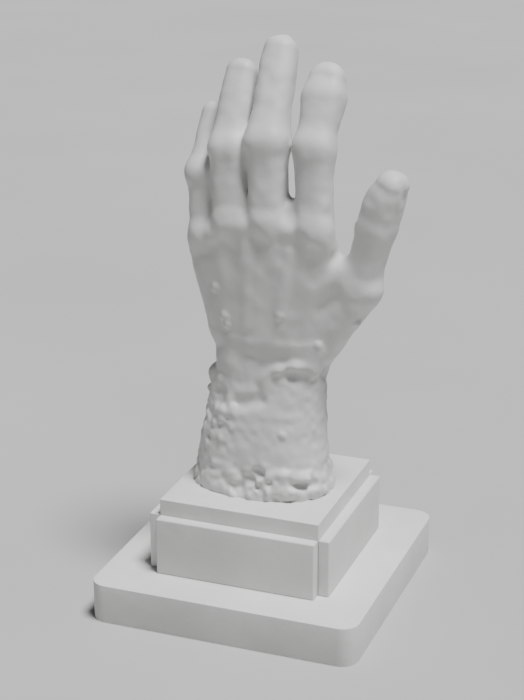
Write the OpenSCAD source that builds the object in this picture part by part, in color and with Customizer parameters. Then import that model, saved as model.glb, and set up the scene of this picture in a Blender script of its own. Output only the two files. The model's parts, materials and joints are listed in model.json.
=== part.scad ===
// Positionable prosthetic left hand standing on a stepped display plinth.
// Millimetres. Origin at the centre of the slab's underside, +Z up, back of the hand towards -Y, thumb towards +X.

/* [Plinth] */
// Side of the square base slab
slab_w = 160; // [150:1:180]
// Thickness of the base slab
slab_h = 23.5; // [18:0.5:28]
// Radius of the slab's upright corners
slab_corner_r = 10; // [4:1:20]
// Side of the square block on the slab
block_w = 96; // [94:1:110]
// Height of the block
block_h = 44; // [40:1:50]
// Thickness of the four panels round the block
panel_t = 6.7; // [4:0.1:9]
// Height of the panels
panel_h = 34.5; // [25:0.5:38]

/* [Forearm] */
// Width of the forearm where it stands on the block
forearm_w = 82; // [78:1:84]
// Depth of the forearm where it stands on the block
forearm_d = 54; // [50:1:58]
// Width at the wrist
wrist_w = 65; // [63:1:68]
// Depth at the wrist
wrist_d = 41; // [40:1:44]
// How far the wrist lies towards the palm
wrist_y = 4; // [2:0.5:5]
// Thickness of the silicone glove over the forearm
glove_t = 3; // [2:0.5:4]

/* [Joints] */
// Radius of the finger hinge pins
pin_r = 1.5; // [1.2:0.1:1.8]
// Running clearance of a pin in a moving link
pin_play = 0.05; // [0.03:0.01:0.08]
// Radius of the thumb's swivel pin
swivel_pin_r = 2.5; // [2:0.1:3]
// Radius of the wrist spindle
spindle_r = 6.5; // [6:0.5:7]

/* [Hidden] */
$fn = 48;
eps = 0.01;

// Colours
plaster = "gainsboro";
silicone = "silver";
metal = "lightslategray";
nylon = "dimgray";

// Levels up the object
block_z = slab_h;
deck_z = slab_h + block_h;
plate_r = 19;
plate_h = 12;
ring_h = 12;
wrist_z = 130;
ring_z = wrist_z - ring_h;

// Fasteners of the plinth
screw_pitch = 72;
screw_r = 2.5;
screw_head_r = 4.5;
screw_head_h = 4;
bolt_r = 6;
bolt_head_r = 10.5;
bolt_head_h = 8;
bolt_pocket_h = 12;
washer_h = 2;

// Wrist
forearm_x = -2;
forearm_y = -2;
wrist_x = 1.5;
ring_r = 14.5;
flange_r = 14;
hub_r = 12;
hub_h = 11;
flange_h = 5;
washer_t = 1.5;
nut_r = 13;
nut_h = 5;
nut_gap = 0.4;
nut_play = 0.8;
nut_room_z = deck_z + 15;
glove_play = 0.05;
core_top_z = 112;
neck_r = 16.5;
spindle_play = 0.05;
wrist_screw_ring_r = 9;
wrist_screw_r = 1;
flange_z = wrist_z + washer_t + 0.1;
frame_z = flange_z + flange_h;

// Palm
palm_plate_t = 7;
palm_low_z = wrist_z + 0.5;
palm_edge_x = 27.5;
palm_play = 0.3;

// Hinge geometry, in a digit's own frame: the hinge lies along X, the digit points up Z and bends towards +Y
knuckle_gap = 4;
knuckle_ear = 2.6;
knuckle_ear_r = 6;
fork_w = 2 * (knuckle_gap + knuckle_ear);
fork_d = 10;
finger_fork_h = 15;
thumb_fork_h = 13;
slot_depth = 7;
press = 0.02;
tongue_r = 5.3;
tongue_w = 7;
link_d = 8;
joint_gap = 3.1;
joint_ear = 2.5;
joint_ear_r = 5;
joint_fork_w = 2 * (joint_gap + joint_ear);
joint_fork_h = 12;
joint_slot_depth = 6.2;
distal_w = 5.2;
distal_d = 6.6;
washer_thin = 0.4;
washer_r = 4.2;
pin_head_r = 2.6;
pin_head_h = 0.9;
head_play = 0.05;
knuckle_room = 10.6;
knuckle_cut = 9.5;
joint_cut = 8;
joint_bevel = 47;
knuckle_bevel = 30;
channel_play = 0.3;
far = 30;

// Digits: knuckle, sideways lean, roll, bend at the knuckle, bend at the joint, length of the proximal
// link, length of the distal part to its tip's centre, and glove radii at knuckle, joint and tip
AT = 0;
LEAN = 1;
ROLL = 2;
BEND = 3;
JOINT_BEND = 4;
LENGTH = 5;
TIP = 6;
RADII = 7;
index = [[29, -3, 221], -4, 0, 9, 20, 47, 42, [10.4, 10.2, 9.6]];
middle = [[2.5, -4, 223], -5, 0, 9, 20, 47, 50, [10.6, 10.4, 8.8]];
ring = [[-20.5, -1, 221], -6, 0, 9, 20, 43, 44, [9.6, 9.6, 8.6]];
little = [[-39, 3, 211], -5, 0, 9, 20, 37, 34, [8.2, 8.2, 7.8]];
thumb = [[52.8, 5, 189.2], 13.7, 72, 0, -3.3, 38.1, 28, [11.5, 10.6, 9.2]];
fingers = [index, middle, ring, little];

// Thumb's swivel, upright beside the palm frame
swivel = [34, 6];
swivel_low_z = 149;
swivel_top_z = 175;
lug_h = 5;
lug_r = 6;
lug_play = 0.3;
lug_x = 14;
arm_low_z = swivel_low_z + lug_h + 3;
arm_h = 9;
arm_r = 3;
arm_play = 0.4;

module at_knuckle(digit) translate(digit[AT]) rotate([0, digit[LEAN], 0]) rotate([0, 0, digit[ROLL]]) children();
module at_link(digit) at_knuckle(digit) rotate([-digit[BEND], 0, 0]) children();
module at_joint(digit)
  at_link(digit) translate([0, 0, digit[LENGTH]]) rotate([-digit[JOINT_BEND], 0, 0]) children();

module along_x(length, radius) rotate([0, 90, 0]) cylinder(h = length, r = radius, center = true);
module block(width, depth, low, high)
  translate([-width / 2, -depth / 2, low]) cube([width, depth, high - low]);
module tube(low, high, outer, inner)
  translate([0, 0, low]) difference() {
    cylinder(h = high - low, r = outer);
    translate([0, 0, -1]) cylinder(h = high - low + 2, r = inner);
  }
module oval_slice(x, y, z, width, depth)
  for (side = [-1, 1])
    translate([x + side * (width - depth) / 2, y, z]) cylinder(h = eps, r = depth / 2);

// The forearm's outline, less a wall all round
module forearm_form(wall, low, high)
  hull() {
    oval_slice(forearm_x, forearm_y, low, forearm_w - 2 * wall, forearm_d - 2 * wall);
    oval_slice(wrist_x, wrist_y, high - eps, wrist_w - 2 * wall, wrist_d - 2 * wall);
  }

// Plinth

module rounded_slab(side, height, corner) {
  inset = side / 2 - corner;
  for (x = [-inset, inset], y = [-inset, inset])
    translate([x, y, 0]) cylinder(h = height, r = corner, $fn = 64);
  block(side, side - 2 * corner, 0, height);
  block(side - 2 * corner, side, 0, height);
}

module at_screws()
  for (x = [-1, 1], y = [-1, 1])
    translate([x * screw_pitch / 2, y * screw_pitch / 2, 0]) children();

module base_slab() color(plaster)
  difference() {
    rounded_slab(slab_w, slab_h, slab_corner_r);
    at_screws() {
      translate([0, 0, -1]) cylinder(h = slab_h + 2, r = screw_r + 0.2);
      translate([0, 0, -1]) cylinder(h = screw_head_h + 2, r = screw_head_r + 0.5);
    }
    translate([0, 0, -1]) cylinder(h = slab_h + 2, r = bolt_r + 0.5);
    translate([0, 0, -1]) cylinder(h = bolt_pocket_h + 1, r = bolt_head_r + 3);
  }

module plinth_block() color(plaster)
  difference() {
    block(block_w, block_w, block_z, deck_z);
    translate([0, 0, block_z - 1]) cylinder(h = block_h + 2, r = bolt_r + 0.5);
    at_screws() translate([0, 0, block_z - 1]) cylinder(h = 23, r = screw_r);
  }

module panel(turn) color(plaster)
  rotate([0, 0, turn])
    translate([-block_w / 2, -block_w / 2 - panel_t, block_z]) cube([block_w, panel_t, panel_h]);

module slab_screws() color(metal)
  at_screws() {
    difference() {
      translate([0, 0, 1]) cylinder(h = screw_head_h, r = screw_head_r);
      translate([0, 0, -1]) cylinder(h = 4, r = 2.5, $fn = 6);
    }
    translate([0, 0, 1 + screw_head_h - eps]) cylinder(h = block_z + 14 - screw_head_h, r = screw_r - 0.03);
  }

module mounting_bolt() color(metal) {
  translate([0, 0, bolt_pocket_h - washer_h - bolt_head_h]) cylinder(h = bolt_head_h, r = bolt_head_r, $fn = 6);
  translate([0, 0, bolt_pocket_h - washer_h - eps])
    cylinder(h = deck_z + plate_h - bolt_pocket_h + washer_h, r = bolt_r - 0.05);
}

module mounting_washer() color(metal) tube(bolt_pocket_h - washer_h, bolt_pocket_h, bolt_head_r + 1.5, bolt_r + 0.3);

// Forearm and wrist

module forearm_base_plate() color(metal) tube(deck_z, deck_z + plate_h, plate_r, bolt_r);

// The core ends in a round neck, which leaves the glove room to twist with the wrist
module forearm_core() color(nylon)
  difference() {
    union() {
      intersection() {
        forearm_form(glove_t + glove_play, deck_z, wrist_z);
        block(forearm_w, forearm_w, deck_z - 1, core_top_z);
      }
      translate([0, wrist_y, core_top_z - 1]) cylinder(h = wrist_z - core_top_z + 1, r = neck_r);
    }
    translate([0, 0, deck_z - 1]) cylinder(h = plate_h + 1, r = plate_r);
    translate([0, wrist_y, nut_room_z]) cylinder(h = wrist_z - nut_room_z, r = nut_r + nut_play);
    translate([0, wrist_y, ring_z]) cylinder(h = ring_h + 1, r = ring_r);
  }

module forearm_glove() color(silicone)
  difference() {
    forearm_form(0, deck_z, wrist_z);
    forearm_form(glove_t, deck_z - 0.1, wrist_z + 0.1);
  }

module wrist_ring() color(metal) translate([0, wrist_y, 0]) tube(ring_z, wrist_z, ring_r, spindle_r);

module wrist_friction_washer() color(nylon)
  translate([0, wrist_y, 0]) tube(wrist_z, wrist_z + washer_t, flange_r, spindle_r + 0.2);

module at_wrist_screws()
  translate([0, wrist_y, 0])
    for (turn = [45:90:315])
      rotate([0, 0, turn]) translate([wrist_screw_ring_r, 0, 0]) children();

module wrist_spindle() color(metal)
  difference() {
    translate([0, wrist_y, 0]) {
      translate([0, 0, flange_z]) cylinder(h = flange_h, r = flange_r);
      translate([0, 0, ring_z - nut_h - nut_gap])
        cylinder(h = flange_z - ring_z + nut_h + nut_gap + eps, r = spindle_r - spindle_play);
    }
    at_wrist_screws() translate([0, 0, flange_z - 1]) cylinder(h = flange_h + 2, r = wrist_screw_r + 0.1);
  }

module wrist_nut() color(metal)
  translate([0, wrist_y, 0]) tube(ring_z - nut_h - nut_gap, ring_z - nut_gap, nut_r, spindle_r);

module wrist_screws() color(metal)
  at_wrist_screws()
    translate([0, 0, flange_z + 0.2]) cylinder(h = flange_h - 0.2 + 8, r = wrist_screw_r);

// Palm

// The two ears that hold a knuckle's pin, and what is cut away for the link and the pin
module knuckle_ears(height) {
  along_x(fork_w, knuckle_ear_r);
  block(fork_w, fork_d, -height, 0);
}

module knuckle_slot() {
  block(2 * knuckle_gap, far, -slot_depth, far);
  along_x(fork_w + 2, pin_r + press);
}

module upright_plate(thickness)
  rotate([90, 0, 0]) linear_extrude(thickness, center = true) children();

module palm_plate()
  upright_plate(palm_plate_t)
    polygon([[-12, frame_z], [12, frame_z], [24, 160], [33, 211], [2, 213], [-20, 211], [-42, 201], [-34, 168]]);

module swivel_bore(radius)
  translate([swivel[0], swivel[1], swivel_low_z - 1]) cylinder(h = 2 * far, r = radius);

module thumb_lugs()
  for (z = [swivel_low_z, swivel_top_z - lug_h])
    translate([0, 0, z]) {
      translate([swivel[0], swivel[1], 0]) cylinder(h = lug_h, r = lug_r);
      translate([lug_x, 0, 0]) cube([swivel[0] - lug_x, swivel[1] + 2, lug_h]);
    }

module palm_frame() color(nylon)
  difference() {
    union() {
      translate([0, wrist_y, frame_z]) cylinder(h = hub_h, r = hub_r);
      palm_plate();
      for (digit = fingers) at_knuckle(digit) knuckle_ears(finger_fork_h);
      thumb_lugs();
    }
    at_wrist_screws() translate([0, 0, frame_z - 1]) cylinder(h = hub_h, r = wrist_screw_r + 0.03);
    swivel_bore(swivel_pin_r);
    for (digit = fingers) at_knuckle(digit) knuckle_slot();
  }

module palm_outline()
  hull() {
    oval_slice(wrist_x, wrist_y, palm_low_z, wrist_w, wrist_d);
    oval_slice(wrist_x, wrist_y + 1, 150, wrist_w - 3, wrist_d - 8);
    translate([28, -1, 198]) sphere(12, $fn = 32);
    translate([2, -2, 200]) sphere(12, $fn = 32);
    translate([-20, 0, 198]) sphere(12, $fn = 32);
    translate([-37, 4, 188]) sphere(11, $fn = 32);
    translate([-24, 3, 164]) sphere(16, $fn = 32);
  }

module palm_glove() color(silicone)
  difference() {
    palm_outline();
    translate([0, wrist_y, palm_low_z - 1])
      cylinder(h = frame_z + hub_h + palm_play - palm_low_z + 1, r = flange_r + palm_play);
    upright_plate(palm_plate_t + 2 * palm_play)
      polygon([[-13, 129], [13, 129], [25, 160], [34, 211], [34, 230], [-43.5, 230], [-43.5, 201], [-35, 168]]);
    for (digit = fingers) at_knuckle(digit) {
      block(fork_w + 2 * palm_play, fork_d + 2 * palm_play, -finger_fork_h - 1, far);
      block(2 * far, 2 * far, -knuckle_room, far);
    }
    translate([palm_edge_x, -40, palm_low_z - 1]) cube([60, 80, 67.5]);
    translate([lug_x - palm_play, -palm_play, swivel_low_z - 2])
      cube([60, swivel[1] + 2 + 2 * palm_play, swivel_top_z - swivel_low_z + 4]);
  }

module hinge_pin(reach)
  union() {
    along_x(2 * reach, pin_r);
    for (side = [-1, 1])
      translate([side * (reach + pin_head_h / 2 - eps), 0, 0]) along_x(pin_head_h, pin_head_r);
  }

module washer_pair(inside, outer)
  for (side = [-1, 1])
    translate([side * (inside + washer_thin / 2 + 0.04), 0, 0])
      difference() {
        along_x(washer_thin, outer);
        along_x(washer_thin + 2, pin_r + 0.1);
      }

module knuckle_pin_of(digit) at_knuckle(digit) hinge_pin(fork_w / 2 + head_play);
module knuckle_washers_of(digit) at_knuckle(digit) washer_pair(tongue_w / 2, washer_r);

module knuckle_pins() color(metal) for (digit = fingers) knuckle_pin_of(digit);
module knuckle_washers() color(nylon) for (digit = fingers) knuckle_washers_of(digit);

module thumb_swivel_pin() color(metal)
  translate([swivel[0], swivel[1], 0]) {
    translate([0, 0, swivel_low_z - 1.5]) cylinder(h = 1.5, r = swivel_pin_r + 1.5);
    translate([0, 0, swivel_low_z - eps]) cylinder(h = swivel_top_z - swivel_low_z + 1, r = swivel_pin_r - 0.02);
  }

// Digits

module proximal_link(digit) color(metal) at_link(digit)
  difference() {
    union() {
      along_x(tongue_w, tongue_r);
      block(tongue_w, link_d, 0, digit[LENGTH] - joint_fork_h + 2);
      block(joint_fork_w, link_d, digit[LENGTH] - joint_fork_h, digit[LENGTH]);
      translate([0, 0, digit[LENGTH]]) along_x(joint_fork_w, joint_ear_r);
    }
    along_x(tongue_w + 2, pin_r + pin_play);
    block(2 * joint_gap, far, digit[LENGTH] - joint_slot_depth, digit[LENGTH] + far);
    translate([0, 0, digit[LENGTH]]) along_x(joint_fork_w + 2, pin_r + press);
  }

module distal_link(digit) color(metal) at_joint(digit)
  difference() {
    union() {
      along_x(distal_w, joint_ear_r);
      block(distal_w, distal_d, 0, digit[TIP] - 6);
      translate([0, 0, digit[TIP] - 6]) along_x(distal_w, distal_d / 2);
    }
    along_x(distal_w + 2, pin_r + pin_play);
  }

module joint_pin(digit) color(metal)
  at_link(digit) translate([0, 0, digit[LENGTH]]) hinge_pin(joint_fork_w / 2 + head_play);
module joint_washers(digit) color(nylon)
  at_link(digit) translate([0, 0, digit[LENGTH]]) washer_pair(distal_w / 2, washer_r - 0.4);

// Everything of a glove that lies nearer its hinge than the cut, and more on the side it bends to
module hinge_room(cut, bevel, side)
  rotate([0, 0, 90]) upright_plate(2 * far)
    polygon([[-far, side * cut], [0, side * cut], [far, side * (cut + far * tan(bevel))],
             [far, -side * far], [-far, -side * far]]);

module proximal_glove(digit) color(silicone) at_link(digit)
  difference() {
    cylinder(h = digit[LENGTH], r1 = digit[RADII][0], r2 = digit[RADII][1]);
    hinge_room(knuckle_cut, knuckle_bevel, 1);
    translate([0, 0, digit[LENGTH]]) hinge_room(joint_cut, joint_bevel, -1);
    block(tongue_w + 2 * channel_play, link_d + 2 * channel_play, -1, digit[LENGTH]);
    block(joint_fork_w + 2 * channel_play, link_d + 2 * channel_play,
          digit[LENGTH] - joint_fork_h - channel_play, digit[LENGTH] + 1);
  }

module distal_form(digit, grow) {
  cylinder(h = digit[TIP], r1 = digit[RADII][1] + grow, r2 = digit[RADII][2] + grow);
  translate([0, 0, digit[TIP]]) sphere(digit[RADII][2] + grow);
}

module distal_glove(digit) color(silicone) at_joint(digit)
  difference() {
    distal_form(digit, 0);
    hinge_room(joint_cut, joint_bevel, 1);
    block(distal_w + 2 * channel_play, distal_d + 2 * channel_play, -1, digit[TIP] - 2);
  }

// Thumb base

// The arm from the swivel's barrel out and up to the thumb's fork
module arm_post(x, grow)
  translate([x, swivel[1] - 1, arm_low_z]) cylinder(h = arm_h, r = arm_r + grow);

module thumb_arm(grow) {
  hull() {
    arm_post(swivel[0] + 3, grow);
    arm_post(swivel[0] + 8, grow);
  }
  hull() {
    arm_post(swivel[0] + 8, grow);
    at_knuckle(thumb) block(12 + 2 * grow, 8 + 2 * grow, -thumb_fork_h, grow - 10);
  }
}

module thumb_base_link() color(nylon)
  difference() {
    union() {
      translate([swivel[0], swivel[1], swivel_low_z + lug_h + lug_play])
        cylinder(h = swivel_top_z - swivel_low_z - 2 * lug_h - 2 * lug_play, r = lug_r);
      thumb_arm(0);
      at_knuckle(thumb) knuckle_ears(thumb_fork_h);
    }
    swivel_bore(swivel_pin_r + pin_play);
    at_knuckle(thumb) knuckle_slot();
  }

module thumb_base_glove() color(silicone)
  difference() {
    hull() {
      translate([swivel[0] + 5, swivel[1] - 2, 160]) sphere(10.5, $fn = 32);
      at_knuckle(thumb) translate([0, 0, -16]) sphere(11.5, $fn = 32);
    }
    thumb_arm(arm_play);
    swivel_bore(lug_r + 1.5);
    at_knuckle(thumb) {
      block(fork_w + 2 * arm_play, fork_d + 2 * arm_play, -thumb_fork_h - 1, far);
      block(2 * far, 2 * far, -knuckle_room, far);
    }
  }

module thumb_knuckle_pin() color(metal) knuckle_pin_of(thumb);
module thumb_knuckle_washers() color(nylon) knuckle_washers_of(thumb);

// A thin shell on the side away from the bend
module thumb_nail() color(plaster) at_joint(thumb)
  intersection() {
    block(11.5, 40, thumb[TIP] - 9, thumb[TIP] + 5);
    translate([-20, -30, 0]) cube([40, 26, 60]);
    difference() {
      distal_form(thumb, 0.6);
      distal_form(thumb, 0.02);
    }
  }

base_slab();
plinth_block();
panel(0);  // panel_front
panel(90);  // panel_right
panel(180);  // panel_back
panel(270);  // panel_left
slab_screws();
mounting_bolt();
mounting_washer();
forearm_base_plate();
forearm_core();
forearm_glove();
wrist_ring();
wrist_friction_washer();
wrist_spindle();
wrist_nut();
wrist_screws();
palm_frame();
palm_glove();
knuckle_pins();
knuckle_washers();
thumb_swivel_pin();
thumb_base_link();
thumb_base_glove();
thumb_knuckle_pin();
thumb_knuckle_washers();
thumb_nail();
proximal_link(index);  // index_proximal_link
distal_link(index);  // index_distal_link
joint_pin(index);  // index_pin
joint_washers(index);  // index_washers
proximal_glove(index);  // index_proximal_glove
distal_glove(index);  // index_distal_glove
proximal_link(middle);  // middle_proximal_link
distal_link(middle);  // middle_distal_link
joint_pin(middle);  // middle_pin
joint_washers(middle);  // middle_washers
proximal_glove(middle);  // middle_proximal_glove
distal_glove(middle);  // middle_distal_glove
proximal_link(ring);  // ring_proximal_link
distal_link(ring);  // ring_distal_link
joint_pin(ring);  // ring_pin
joint_washers(ring);  // ring_washers
proximal_glove(ring);  // ring_proximal_glove
distal_glove(ring);  // ring_distal_glove
proximal_link(little);  // little_proximal_link
distal_link(little);  // little_distal_link
joint_pin(little);  // little_pin
joint_washers(little);  // little_washers
proximal_glove(little);  // little_proximal_glove
distal_glove(little);  // little_distal_glove
proximal_link(thumb);  // thumb_proximal_link
distal_link(thumb);  // thumb_distal_link
joint_pin(thumb);  // thumb_pin
joint_washers(thumb);  // thumb_washers
proximal_glove(thumb);  // thumb_proximal_glove
distal_glove(thumb);  // thumb_distal_glove
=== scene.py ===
"""A positionable prosthetic left hand on a stepped plinth: glove, edges, finishes, light, camera.

The glove is built in millimetres, as one field of signed distances that is meshed and then cut into
a piece for each joint.
"""
import json
import math
from collections import namedtuple

import bmesh
import bpy
import numpy as np
from mathutils import Matrix, Vector


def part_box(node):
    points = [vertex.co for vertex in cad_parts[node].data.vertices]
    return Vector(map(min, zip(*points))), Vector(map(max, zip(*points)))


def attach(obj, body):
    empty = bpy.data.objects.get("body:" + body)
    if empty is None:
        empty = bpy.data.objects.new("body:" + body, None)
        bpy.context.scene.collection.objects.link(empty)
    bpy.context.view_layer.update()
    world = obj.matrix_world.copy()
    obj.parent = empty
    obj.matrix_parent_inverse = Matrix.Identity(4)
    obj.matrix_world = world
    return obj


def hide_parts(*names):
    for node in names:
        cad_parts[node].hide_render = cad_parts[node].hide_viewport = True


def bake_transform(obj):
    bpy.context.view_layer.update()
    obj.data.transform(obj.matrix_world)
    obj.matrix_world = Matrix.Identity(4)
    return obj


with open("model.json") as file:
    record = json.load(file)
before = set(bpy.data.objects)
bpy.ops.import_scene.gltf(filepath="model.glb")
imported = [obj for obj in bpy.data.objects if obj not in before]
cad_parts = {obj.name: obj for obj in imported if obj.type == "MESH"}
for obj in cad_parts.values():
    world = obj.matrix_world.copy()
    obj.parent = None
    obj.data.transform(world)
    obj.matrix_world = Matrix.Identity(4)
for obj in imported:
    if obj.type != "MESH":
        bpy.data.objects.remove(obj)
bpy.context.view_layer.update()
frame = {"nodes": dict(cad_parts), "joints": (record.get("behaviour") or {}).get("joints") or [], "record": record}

MM = 0.001
GRID = 1.0
FAR = 30.0  # the field's value where nothing is near
UP = np.array([0.0, 0.0, 1.0])
BACK = np.array([0.0, -1.0, 0.0])
ACROSS = np.array([1.0, 0.0, 0.0])
FLESH_WIDE, FLESH_SQUARE = 1.08, 2.6  # width over depth, and the section's power; 2 is an ellipse
FINGERS = ("index", "middle", "ring", "little")
NEIGHBOURS = tuple(zip(FINGERS, FINGERS[1:]))
JOINTS = {joint["name"]: joint for joint in frame["joints"]}


# The skeleton, from the frame

Digit = namedtuple("Digit", "knuckle joint tip side lower upper back radii")


def unit(vector):
    return np.asarray(vector, float) / np.linalg.norm(vector)


def joint_at(name):
    return np.array(JOINTS[name]["pos_m"]) / MM


def node_points(node):
    vertices = frame["nodes"][node].data.vertices
    points = np.empty(len(vertices) * 3)
    vertices.foreach_get("co", points)
    return points.reshape(-1, 3) / MM


def turned(vector, axis, degrees):
    return np.array(Matrix.Rotation(math.radians(degrees), 3, Vector(axis)) @ Vector(vector))


def digit(name, joint_name, rest_bend, aside, sway, longer, radii):
    """A digit's centres, its hinge direction, and which way its parts point and face.

    rest_bend, in degrees, is how far the upper part leans from the lower one at rest. aside moves
    its flesh across and sway leans the upper part, both towards the thumb; longer adds length.
    """
    knuckle = joint_at(f"{name}_knuckle") + (aside, 0, 0)
    joint = joint_at(joint_name) + (aside, 0, 0)
    hinge = unit(JOINTS[f"{name}_knuckle"]["axis"])
    lower = unit(joint - knuckle)
    upper = turned(lower, hinge, rest_bend)
    reach = ((node_points(f"{name}_distal_glove") - joint) @ upper).max()
    upper = unit(upper - hinge * sway)
    tip = joint + upper * (reach - radii[-1] + longer)
    return Digit(knuckle, joint, tip, -hinge, lower, upper, unit(np.cross(-hinge, upper)), radii)


# Half widths of a digit at its knuckle, waist, joint, above it, end joint, pad and tip
HALF_WIDTHS = {
    "index": (10.9, 10.3, 11.7, 10.4, 11.5, 12.7, 9.8),
    "middle": (11.0, 10.9, 12.4, 10.6, 10.5, 10.6, 9.4),
    "ring": (10.6, 11.0, 11.8, 10.2, 10.2, 9.9, 8.7),
    "little": (9.2, 8.8, 10.3, 8.4, 8.4, 8.2, 7.6),
    "thumb": (11.6, 10.4, 11.3, 11.3, 11.5, 11.0, 9.0),
}
# How far each finger's flesh is moved across, how much it leans, and its added length
STANCES = {
    "index": (-0.3, 0.085, -1.8),
    "middle": (-0.1, 0.05, 3.2),
    "ring": (0.4, 0.07, 0.0),
    "little": (0.6, 0.09, 0.2),
}
FINGER_BEND, THUMB_BEND = 20, -6
HAND = {
    name: digit(name, f"{name}_middle_joint", FINGER_BEND, *STANCES[name], HALF_WIDTHS[name])
    for name in FINGERS
}
THUMB = digit("thumb", "thumb_end_joint", THUMB_BEND, 0, 0, -1.8, HALF_WIDTHS["thumb"])
THUMB_PAD = (0, 0.5, 1.0, 0.8, 0.2)
DECK_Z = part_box("plinth_block")[1].z / MM


def midway(left, right):
    """The point between two fingers' knuckles."""
    return (HAND[left].knuckle + HAND[right].knuckle) / 2


# Signed distances

# The box round a shape, its distance function, and by how much that can understate a distance
Shape = namedtuple("Shape", "low high distance spread")


def smooth_min(a, b, blend):
    share = np.clip(0.5 + 0.5 * (b - a) / blend, 0, 1)
    return b + (a - b) * share - blend * share * (1 - share)


def limb(start, end, start_r, end_r, side=None, wide=1.0, square=2.0):
    """A round-ended bar whose radius runs from start_r to end_r, wide times as wide along side."""
    start, end = np.asarray(start, float), np.asarray(end, float)
    along = end - start
    length = max(np.linalg.norm(along), 1e-6)
    along = along / length
    side = unit(np.cross(along, BACK) if side is None else side - along * (side @ along))
    depth = np.cross(along, side)
    reach = max(start_r, end_r) * max(wide, 1)

    def distance(at):
        p = [at[i] - start[i] for i in range(3)]
        w = sum(p[i] * along[i] for i in range(3))
        u = sum(p[i] * side[i] for i in range(3)) / wide
        v = sum(p[i] * depth[i] for i in range(3))
        near = np.clip(w / length, 0, 1)
        past = w - near * length
        across = (np.abs(u) ** square + np.abs(v) ** square) ** (1 / square)
        return np.sqrt(across**2 + past**2) - (start_r + (end_r - start_r) * near)

    low, high = np.minimum(start, end) - reach, np.maximum(start, end) + reach
    return Shape(low, high, distance, max(wide, 1))


def ball(centre, radii):
    centre, radii = np.asarray(centre, float), np.broadcast_to(np.asarray(radii, float), 3)

    def distance(at):
        scaled = np.sqrt(sum(((at[i] - centre[i]) / radii[i]) ** 2 for i in range(3)))
        return (scaled - 1) * radii.min()

    return Shape(centre - radii, centre + radii, distance, radii.max() / radii.min())


SKIN_SEARCH = 400  # places tried along a line that looks for the skin
BACK_LINE = (-60, 10)  # the y of a line's two ends, outside the back of the hand and inside it


class Field:
    """Distances to the glove's outside on a grid, negative inside."""

    def __init__(self, low, high, step):
        self.low, self.step = np.array(low, float), step
        counts = np.ceil((np.array(high) - low) / step).astype(int) + 1
        self.axes = [self.low[i] + step * np.arange(counts[i]) for i in range(3)]
        self.values = np.full(counts, FAR)

    def window(self, low, high, margin):
        """The stretch of the grid round a box, and its coordinates."""
        size = np.array(self.values.shape)
        first = np.clip(np.floor((low - margin - self.low) / self.step).astype(int), 0, size)
        last = np.clip(np.ceil((high + margin - self.low) / self.step).astype(int) + 1, 0, size)
        part = tuple(slice(a, b) for a, b in zip(first, last))
        at = np.meshgrid(*(self.axes[i][part[i]] for i in range(3)), indexing="ij", sparse=True)
        return part, at

    def join(self, shape, blend):
        part, at = self.window(shape.low, shape.high, (blend + 2) * shape.spread)
        self.values[part] = smooth_min(self.values[part], shape.distance(at), blend)

    def cut(self, shape, blend):
        part, at = self.window(shape.low, shape.high, (blend + 2) * shape.spread)
        self.values[part] = -smooth_min(-self.values[part], shape.distance(at), blend)

    def sample(self, points):
        """Distances at any points, by trilinear interpolation."""
        place = (np.asarray(points) - self.low) / self.step
        size = np.array(self.values.shape)
        cell = np.clip(np.floor(place).astype(int), 0, size - 2)
        share = np.clip(place - cell, 0, 1)
        total = np.zeros(len(place))
        for corner in np.ndindex(2, 2, 2):
            weight = np.prod(np.where(corner, share, 1 - share), axis=1)
            i, j, k = (cell + corner).T
            total += weight * self.values[i, j, k]
        return total

    def slope(self, points):
        reach = 0.8 * self.step
        steps = np.eye(3) * reach
        parts = [self.sample(points + s) - self.sample(points - s) for s in steps]
        return np.stack(parts, axis=1) / (2 * reach)

    def normals(self, points):
        found = self.slope(points)
        return found / np.maximum(np.linalg.norm(found, axis=1, keepdims=True), 1e-9)

    def skin_point(self, start, towards):
        """Where a line from far outside, running towards a point, meets the skin."""
        start, towards = np.asarray(start, float), np.asarray(towards, float)
        share = np.linspace(0, 1, SKIN_SEARCH)[:, None]
        points = start + (towards - start) * share
        inside = self.sample(points) < 0
        return points[np.argmax(inside)] if inside.any() else towards

    def back_skin(self, x, z):
        outside, inside = BACK_LINE
        return self.skin_point((x, outside, z), (x, inside, z))

    def roughen(self, low, high, cell, amount, seed, fade):
        """Adds smooth noise of the given cell size inside a box, fading out towards its sides."""
        low, high = np.array(low, float), np.array(high, float)
        part, at = self.window(low, high, 0)
        counts = np.ceil((high - low) / cell).astype(int) + 3
        lattice = np.random.default_rng(seed).uniform(-1, 1, counts)
        fall = 1
        for i in range(3):
            along = at[i].ravel()
            place = np.clip((along - low[i]) / cell, 0, lattice.shape[i] - 2)
            cells = np.floor(place).astype(int)
            share = place - cells
            share = share * share * (3 - 2 * share)
            share = share.reshape([-1 if k == i else 1 for k in range(3)])
            before, after = np.take(lattice, cells, i), np.take(lattice, cells + 1, i)
            lattice = before * (1 - share) + after * share
            fall = fall * np.clip(np.minimum(at[i] - low[i], high[i] - at[i]) / fade, 0, 1)
        self.values[part] += lattice * fall * amount


# The hand's flesh

FOREARM = {
    # height above the deck: middle x and y, half width, half depth
    0: (-2.0, -1.5, 41.6, 29.0),
    7: (-2.0, -1.2, 39.8, 27.0),
    20: (-2.0, -0.5, 37.9, 25.5),
    40: (-1.4, 1.5, 35.4, 23.0),
    56: (-0.9, 3.2, 34.2, 21.0),
    72: (1.4, 5.0, 31.8, 18.2),
    88: (1.4, 6.0, 31.0, 16.8),
}
FOREARM_SQUARE = 2.5
FOREARM_SMOOTHING = np.arange(-9, 9.1, 3)  # each height takes the mean of these ones round it
FOREARM_SPREAD = 1.6


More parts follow.
